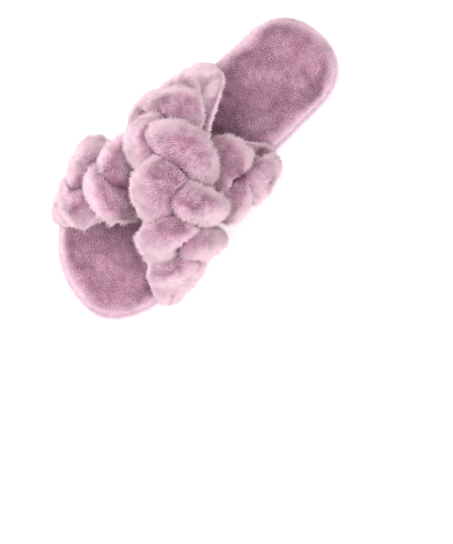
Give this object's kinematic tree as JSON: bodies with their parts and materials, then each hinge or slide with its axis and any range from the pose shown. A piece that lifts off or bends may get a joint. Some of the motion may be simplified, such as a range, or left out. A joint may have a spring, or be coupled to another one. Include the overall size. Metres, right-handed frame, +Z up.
{
  "type": "fluffy house slipper",
  "caption": "Open-toe, open-back plush house slipper for the right foot, with crossed plaited plush straps over a furry footbed and a thin stitched moulded outsole.",
  "frame": {"origin": "middle of the slipper's box in plan, on the ground the outsole rests on", "axes": "+Y towards the toe, +X towards the outer (little toe) side of this right slipper, +Z up"},
  "size_m": [0.1206, 0.256, 0.0948],
  "materials": {
    "strap_plush": "dusty pink long-pile faux fur with paler tips",
    "footbed_plush": "mauve pink short-pile faux fur",
    "outsole_rubber": "soft pale pink moulded rubber, satin",
    "foam": "closed-cell foam, matt",
    "insole_board": "plain fibre board",
    "stitching_thread": "twisted polyester thread",
    "wadding": "loose polyester fibre"
  },
  "bodies": {
    "root": {"outsole": "outsole_rubber", "outsole_stitching": "stitching_thread", "insole_board": "insole_board", "midsole_foam": "foam", "cushion_foam": "foam", "footbed_fur_cover": "footbed_plush", "top_strap_band": "strap_plush", "top_strap_strand_1": "strap_plush", "top_strap_filling_1": "wadding", "top_strap_strand_2": "strap_plush", "top_strap_filling_2": "wadding", "top_strap_strand_3": "strap_plush", "top_strap_filling_3": "wadding", "under_strap_band": "strap_plush", "under_strap_strand_1": "strap_plush", "under_strap_filling_1": "wadding", "under_strap_strand_2": "strap_plush", "under_strap_filling_2": "wadding", "under_strap_strand_3": "strap_plush", "under_strap_filling_3": "wadding"}
  },
  "joints": []
}
